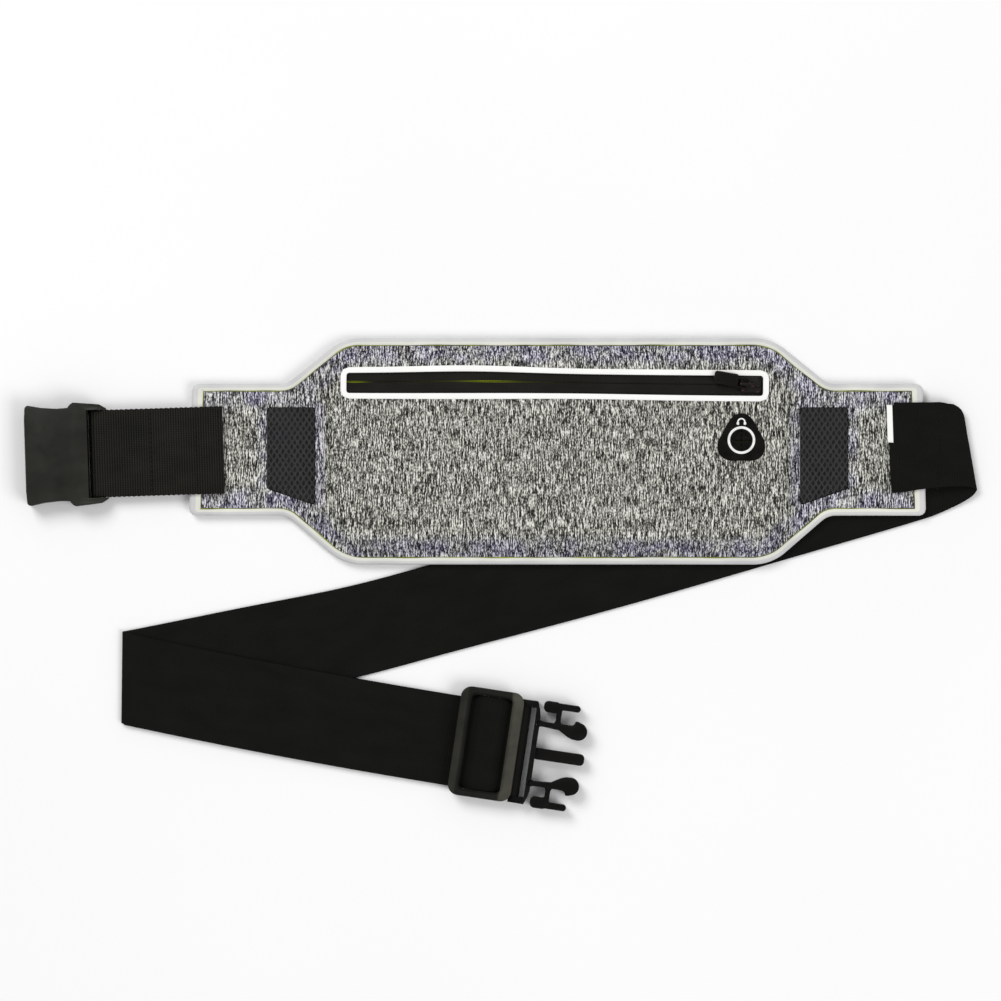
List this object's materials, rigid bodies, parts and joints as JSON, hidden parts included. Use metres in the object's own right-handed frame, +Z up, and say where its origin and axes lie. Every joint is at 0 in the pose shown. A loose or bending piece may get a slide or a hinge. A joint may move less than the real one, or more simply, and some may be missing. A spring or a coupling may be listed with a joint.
{
  "type": "waist pack",
  "caption": "Slim running waist pack with a zipped pocket, mesh windows, an earphone port, an adjustable elastic strap and a side-release buckle, lying open on its back.",
  "frame": {"origin": "under the middle of the whole pack, on the surface that it lies on", "axes": "+X along the pouch towards the elastic strap end, +Y towards the zip edge, +Z up out of the front panel"},
  "size_m": [0.4202, 0.2088, 0.0132],
  "materials": {
    "knit": "heathered grey knit",
    "binding": "light grey reflective tape",
    "lining": "thin lime lining",
    "mesh": "open black mesh",
    "reflective_film": "white reflective film",
    "zip_tape": "woven tape",
    "zip_coil": "nylon coil",
    "zip_metal": "black lacquer with worn copper edges",
    "zip_pull": "moulded tab",
    "port_rubber": "soft matt rubber",
    "port_print": "raised white print",
    "webbing": "ribbed nylon webbing",
    "thread": "black thread",
    "elastic": "woven elastic",
    "buckle_plastic": "acetal, slight sheen",
    "adjuster_plastic": "acetal, slight sheen"
  },
  "bodies": {
    "pouch": {"back_panel": "knit", "edge_binding": "binding", "front_panel": "knit", "headphone_mark": "port_print", "left_webbing": "webbing", "mesh_window_left": "mesh", "mesh_window_right": "mesh", "pocket_lining": "lining", "port_patch": "port_rubber", "port_ring": "port_print", "strap_left_fold": "elastic", "strap_long_run": "elastic", "strap_plug_turn": "elastic", "strap_right_turn": "elastic", "strap_sewn_end": "elastic", "strap_short_run": "elastic", "strap_stitches": "thread", "tab_label": "reflective_film", "webbing_stitches": "thread", "zip_coil_lower": "zip_coil", "zip_coil_upper": "zip_coil", "zip_frame": "reflective_film", "zip_stop_left": "zip_coil", "zip_stop_right": "zip_coil", "zip_tape_lower": "zip_tape", "zip_tape_upper": "zip_tape"},
    "zip_slider": {"zip_slider": "zip_metal"},
    "zip_puller": {"zip_puller": "zip_pull"},
    "socket": {"buckle_socket": "buckle_plastic"},
    "plug": {"buckle_plug": "buckle_plastic"},
    "arm_upper": {"buckle_arm_upper": "buckle_plastic"},
    "arm_lower": {"buckle_arm_lower": "buckle_plastic"},
    "adjuster": {"adjuster": "adjuster_plastic", "adjuster_strap_loop": "elastic"},
    "petal_1": {"port_flap_1": "port_rubber"},
    "petal_2": {"port_flap_2": "port_rubber"},
    "petal_3": {"port_flap_3": "port_rubber"},
    "petal_4": {"port_flap_4": "port_rubber"}
  },
  "joints": [
    {"name": "zip_slide", "type": "slide", "parent": "pouch", "child": "zip_slider", "axis": [1, -0.007, 0], "range_m": [-0.17, 0]},
    {"name": "zip_pull_swing", "type": "hinge", "parent": "zip_slider", "child": "zip_puller", "pos_m": [0.1079, 0.08425, 0.0118], "axis": [0.1719, 0.9851, 0], "range_deg": [0, 120]},
    {"name": "socket_tilt", "type": "hinge", "parent": "pouch", "child": "socket", "pos_m": [-0.1786, 0.05333, 0.00295], "axis": [-0.0314, 0.9995, 0], "range_deg": [0, 75]},
    {"name": "plug_tilt", "type": "hinge", "parent": "pouch", "child": "plug", "pos_m": [0.0081, -0.07787, 0.00385], "axis": [-0.1478, -0.989, 0], "range_deg": [0, 40]},
    {"name": "arm_upper_squeeze", "type": "hinge", "parent": "plug", "child": "arm_upper", "pos_m": [0.01738, -0.06581, 0.00385], "axis": [0, 0, -1], "range_deg": [0, 7], "stiffness_Nm_per_rad": 0.5},
    {"name": "arm_lower_squeeze", "type": "hinge", "parent": "plug", "child": "arm_lower", "pos_m": [0.01345, -0.09212, 0.00385], "axis": [0, 0, 1], "range_deg": [0, 7], "stiffness_Nm_per_rad": 0.5},
    {"name": "adjuster_slide", "type": "slide", "parent": "pouch", "child": "adjuster", "axis": [-0.989, 0.1478, 0], "range_m": [0, 0.095]},
    {"name": "petal_1_bend", "type": "hinge", "parent": "pouch", "child": "petal_1", "pos_m": [0.10827, 0.06141, 0.0113], "axis": [0.7071, -0.7071, 0], "range_deg": [0, 35], "stiffness_Nm_per_rad": 0.002},
    {"name": "petal_2_bend", "type": "hinge", "parent": "pouch", "child": "petal_2", "pos_m": [0.10412, 0.06141, 0.0113], "axis": [0.7071, 0.7071, 0], "range_deg": [0, 35], "stiffness_Nm_per_rad": 0.002},
    {"name": "petal_3_bend", "type": "hinge", "parent": "pouch", "child": "petal_3", "pos_m": [0.10412, 0.05726, 0.0113], "axis": [-0.7071, 0.7071, 0], "range_deg": [0, 35], "stiffness_Nm_per_rad": 0.002},
    {"name": "petal_4_bend", "type": "hinge", "parent": "pouch", "child": "petal_4", "pos_m": [0.10827, 0.05726, 0.0113], "axis": [-0.7071, -0.7071, 0], "range_deg": [0, 35], "stiffness_Nm_per_rad": 0.002}
  ]
}
